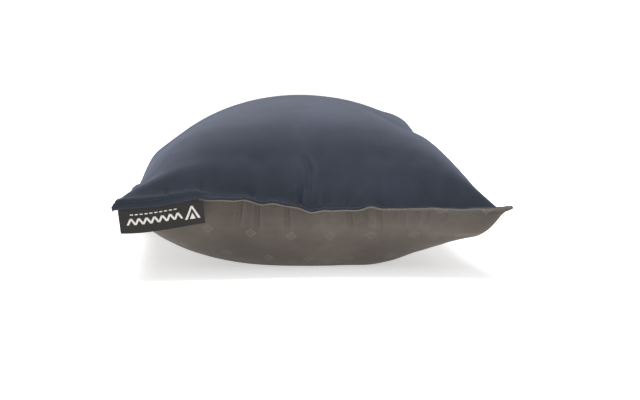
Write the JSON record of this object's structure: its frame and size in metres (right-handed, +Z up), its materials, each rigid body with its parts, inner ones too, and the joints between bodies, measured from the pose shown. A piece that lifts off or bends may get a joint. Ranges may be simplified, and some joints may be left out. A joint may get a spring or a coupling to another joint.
{
  "type": "camp pillow",
  "caption": "Rectangular stuffed camp pillow with pointed corners, two-tone cloth panels, a topstitched flange seam all round, a woven side tab and a small care tab",
  "frame": {"origin": "centre of the bounding box on the ground plane, under the pillow as it rests", "axes": "+X along the short side, +Y along the long side (the tab end faces -Y), +Z up through the crown"},
  "size_m": [0.34, 0.4777, 0.1459],
  "materials": {
    "navy_cloth": "brushed navy polyester cloth",
    "grey_cloth": "brushed warm grey polyester cloth",
    "white_fibre": "loose white polyester fibre",
    "grey_thread": "spun polyester sewing thread, grey",
    "navy_thread": "spun polyester sewing thread, navy",
    "label_black": "black damask woven label",
    "label_white": "white satin care label"
  },
  "bodies": {
    "pillow": {"top_panel": "navy_cloth", "bottom_panel": "grey_cloth", "fibre_fill": "white_fibre", "seam_thread": "grey_thread", "topstitch_needle_thread": "navy_thread", "topstitch_bobbin_thread": "grey_thread", "closing_thread": "grey_thread"},
    "side_tab": {"woven_side_label": "label_black"},
    "care_tab": {"care_label": "label_white"}
  },
  "joints": [
    {"name": "side_tab_flap", "type": "hinge", "parent": "pillow", "child": "side_tab", "pos_m": [-0.16461, -0.23892, 0.06175], "axis": [-0.9851, -0.156, -0.0723], "range_deg": [-5, 170]},
    {"name": "care_tab_flap", "type": "hinge", "parent": "pillow", "child": "care_tab", "pos_m": [0.0619, 0.22753, 0.04716], "axis": [0.9845, 0.1407, -0.1045], "range_deg": [-5, 170]}
  ]
}
